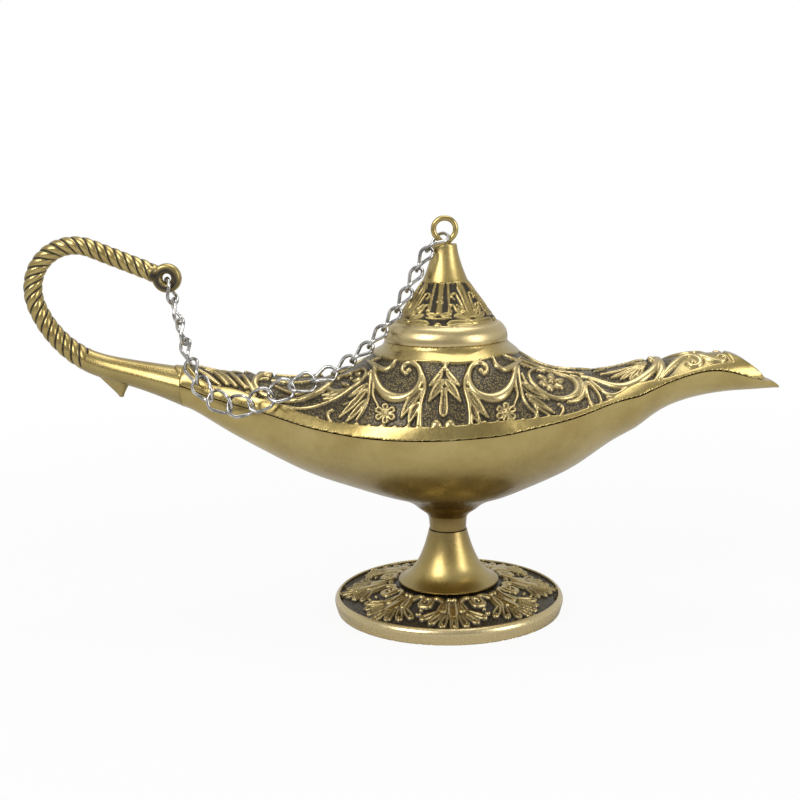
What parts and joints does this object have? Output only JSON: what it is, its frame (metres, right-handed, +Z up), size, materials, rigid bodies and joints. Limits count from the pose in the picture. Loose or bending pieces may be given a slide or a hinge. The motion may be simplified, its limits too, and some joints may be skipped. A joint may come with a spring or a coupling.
{
  "type": "genie oil lamp",
  "caption": "Boat-shaped antique-brass oil lamp with roped handle, long spout, ornamented deck, conical lid on a curb chain, and a trumpet pedestal on a round ornamented base.",
  "frame": {"origin": "centre of the base's resting face, on the lid's axis", "axes": "+Z up, +X along the spout, +Y to the lamp's left side when the spout points ahead"},
  "size_m": [0.2209, 0.069, 0.1175],
  "materials": {
    "antique_brass": "brushed antique brass over dark relief",
    "chain_silver": "polished",
    "fastener_steel": "satin"
  },
  "bodies": {
    "lamp": {"base_plate": "antique_brass", "pedestal": "antique_brass", "base_screw": "fastener_steel", "screw_washer": "fastener_steel", "lower_shell": "antique_brass", "upper_shell": "antique_brass", "handle": "antique_brass"},
    "lid": {"lid": "antique_brass", "lid_eye": "antique_brass"},
    "chain_link_01": {"chain_link_01": "chain_silver"},
    "chain_link_02": {"chain_link_02": "chain_silver"},
    "chain_link_03": {"chain_link_03": "chain_silver"},
    "chain_link_04": {"chain_link_04": "chain_silver"},
    "chain_link_05": {"chain_link_05": "chain_silver"},
    "chain_link_06": {"chain_link_06": "chain_silver"},
    "chain_link_07": {"chain_link_07": "chain_silver"},
    "chain_link_08": {"chain_link_08": "chain_silver"},
    "chain_link_09": {"chain_link_09": "chain_silver"},
    "chain_link_10": {"chain_link_10": "chain_silver"},
    "chain_link_11": {"chain_link_11": "chain_silver"},
    "chain_link_12": {"chain_link_12": "chain_silver"},
    "chain_link_13": {"chain_link_13": "chain_silver"},
    "chain_link_14": {"chain_link_14": "chain_silver"},
    "chain_link_15": {"chain_link_15": "chain_silver"},
    "chain_link_16": {"chain_link_16": "chain_silver"},
    "chain_link_17": {"chain_link_17": "chain_silver"},
    "chain_link_18": {"chain_link_18": "chain_silver"},
    "chain_link_19": {"chain_link_19": "chain_silver"},
    "chain_link_20": {"chain_link_20": "chain_silver"}
  },
  "joints": [
    {"name": "lid_lift", "type": "slide", "parent": "lamp", "child": "lid", "axis": [0, 0, 1], "range_m": [0, 0.01]},
    {"name": "chain_link_01_swing", "type": "hinge", "parent": "lamp", "child": "chain_link_01", "pos_m": [-0.0816, 0, 0.09978], "axis": [0, 1, 0], "range_deg": [-4.94, 0]},
    {"name": "chain_link_02_swing", "type": "hinge", "parent": "chain_link_01", "child": "chain_link_02", "pos_m": [-0.07983, -0.00064, 0.09363], "axis": [0, 1, 0], "range_deg": [-0.3416, 0]},
    {"name": "chain_link_03_swing", "type": "hinge", "parent": "chain_link_02", "child": "chain_link_03", "pos_m": [-0.07785, -0.00277, 0.08793], "axis": [0, 1, 0], "range_deg": [0, 0.7159]},
    {"name": "chain_link_04_swing", "type": "hinge", "parent": "chain_link_03", "child": "chain_link_04", "pos_m": [-0.07623, -0.00486, 0.0821], "axis": [0, 1, 0], "range_deg": [-0.3417, 0]},
    {"name": "chain_link_05_swing", "type": "hinge", "parent": "chain_link_04", "child": "chain_link_05", "pos_m": [-0.07441, -0.00754, 0.07658], "axis": [0, 1, 0], "range_deg": [-1.38, 0]},
    {"name": "chain_link_06_swing", "type": "hinge", "parent": "chain_link_05", "child": "chain_link_06", "pos_m": [-0.07186, -0.0104, 0.07142], "axis": [0, 1, 0], "range_deg": [-3.16, 0]},
    {"name": "chain_link_07_swing", "type": "hinge", "parent": "chain_link_06", "child": "chain_link_07", "pos_m": [-0.06766, -0.0124, 0.06698], "axis": [0, 1, 0], "range_deg": [-2.64, 0]},
    {"name": "chain_link_08_swing", "type": "hinge", "parent": "chain_link_07", "child": "chain_link_08", "pos_m": [-0.06194, -0.01388, 0.06445], "axis": [0, 1, 0], "range_deg": [-0.486, 0]},
    {"name": "chain_link_09_swing", "type": "hinge", "parent": "chain_link_08", "child": "chain_link_09", "pos_m": [-0.05562, -0.01476, 0.06517], "axis": [0, 1, 0], "range_deg": [0, 1.73]},
    {"name": "chain_link_20_swing", "type": "hinge", "parent": "lid", "child": "chain_link_20", "pos_m": [0, 0, 0.11167], "axis": [0, 1, 0], "range_deg": [-0.2001, 0]},
    {"name": "chain_link_19_swing", "type": "hinge", "parent": "chain_link_20", "child": "chain_link_19", "pos_m": [-0.00477, -0.00225, 0.10802], "axis": [0, 1, 0], "range_deg": [-0.1501, 0]},
    {"name": "chain_link_18_swing", "type": "hinge", "parent": "chain_link_19", "child": "chain_link_18", "pos_m": [-0.00804, -0.00368, 0.1027], "axis": [0, 1, 0], "range_deg": [-0.1501, 0]},
    {"name": "chain_link_17_swing", "type": "hinge", "parent": "chain_link_18", "child": "chain_link_17", "pos_m": [-0.01118, -0.00503, 0.09729], "axis": [0, 1, 0], "range_deg": [-0.2001, 0]},
    {"name": "chain_link_16_swing", "type": "hinge", "parent": "chain_link_17", "child": "chain_link_16", "pos_m": [-0.01444, -0.00621, 0.09188], "axis": [0, 1, 0], "range_deg": [-0.1501, 0]},
    {"name": "chain_link_15_swing", "type": "hinge", "parent": "chain_link_16", "child": "chain_link_15", "pos_m": [-0.0184, -0.00738, 0.08698], "axis": [0, 1, 0], "range_deg": [-0.2001, 0]},
    {"name": "chain_link_14_swing", "type": "hinge", "parent": "chain_link_15", "child": "chain_link_14", "pos_m": [-0.02249, -0.00876, 0.08222], "axis": [0, 1, 0], "range_deg": [-1.35, 0]},
    {"name": "chain_link_13_swing", "type": "hinge", "parent": "chain_link_14", "child": "chain_link_13", "pos_m": [-0.02713, -0.01049, 0.07816], "axis": [0, 1, 0], "range_deg": [-7.37, 0]},
    {"name": "chain_link_12_swing", "type": "hinge", "parent": "chain_link_13", "child": "chain_link_12", "pos_m": [-0.03238, -0.01175, 0.07466], "axis": [0, 1, 0], "range_deg": [-0.8188, 0]},
    {"name": "chain_link_11_swing", "type": "hinge", "parent": "chain_link_12", "child": "chain_link_11", "pos_m": [-0.03792, -0.0137, 0.07207], "axis": [0, 1, 0], "range_deg": [-1.22, 0]},
    {"name": "chain_link_10_swing", "type": "hinge", "parent": "chain_link_11", "child": "chain_link_10", "pos_m": [-0.04396, -0.01515, 0.07047], "axis": [0, 1, 0], "range_deg": [0, 0.3735]}
  ],
  "couplings": [
    {"joint": "chain_link_01_swing", "follows": "lid_lift", "rad_per_m": -8.6182},
    {"joint": "chain_link_02_swing", "follows": "lid_lift", "rad_per_m": -0.5961},
    {"joint": "chain_link_03_swing", "follows": "lid_lift", "rad_per_m": 1.2494},
    {"joint": "chain_link_04_swing", "follows": "lid_lift", "rad_per_m": -0.5963},
    {"joint": "chain_link_05_swing", "follows": "lid_lift", "rad_per_m": -2.412},
    {"joint": "chain_link_06_swing", "follows": "lid_lift", "rad_per_m": -5.5086},
    {"joint": "chain_link_07_swing", "follows": "lid_lift", "rad_per_m": -4.6083},
    {"joint": "chain_link_08_swing", "follows": "lid_lift", "rad_per_m": -0.8482},
    {"joint": "chain_link_09_swing", "follows": "lid_lift", "rad_per_m": 3.0194},
    {"joint": "chain_link_20_swing", "follows": "lid_lift", "rad_per_m": -0.3491},
    {"joint": "chain_link_19_swing", "follows": "lid_lift", "rad_per_m": -0.2618},
    {"joint": "chain_link_18_swing", "follows": "lid_lift", "rad_per_m": -0.2618},
    {"joint": "chain_link_17_swing", "follows": "lid_lift", "rad_per_m": -0.3491},
    {"joint": "chain_link_16_swing", "follows": "lid_lift", "rad_per_m": -0.2618},
    {"joint": "chain_link_15_swing", "follows": "lid_lift", "rad_per_m": -0.3491},
    {"joint": "chain_link_14_swing", "follows": "lid_lift", "rad_per_m": -2.3562},
    {"joint": "chain_link_13_swing", "follows": "lid_lift", "rad_per_m": -12.858},
    {"joint": "chain_link_12_swing", "follows": "lid_lift", "rad_per_m": -1.429},
    {"joint": "chain_link_11_swing", "follows": "lid_lift", "rad_per_m": -2.1236},
    {"joint": "chain_link_10_swing", "follows": "lid_lift", "rad_per_m": 0.6518}
  ]
}
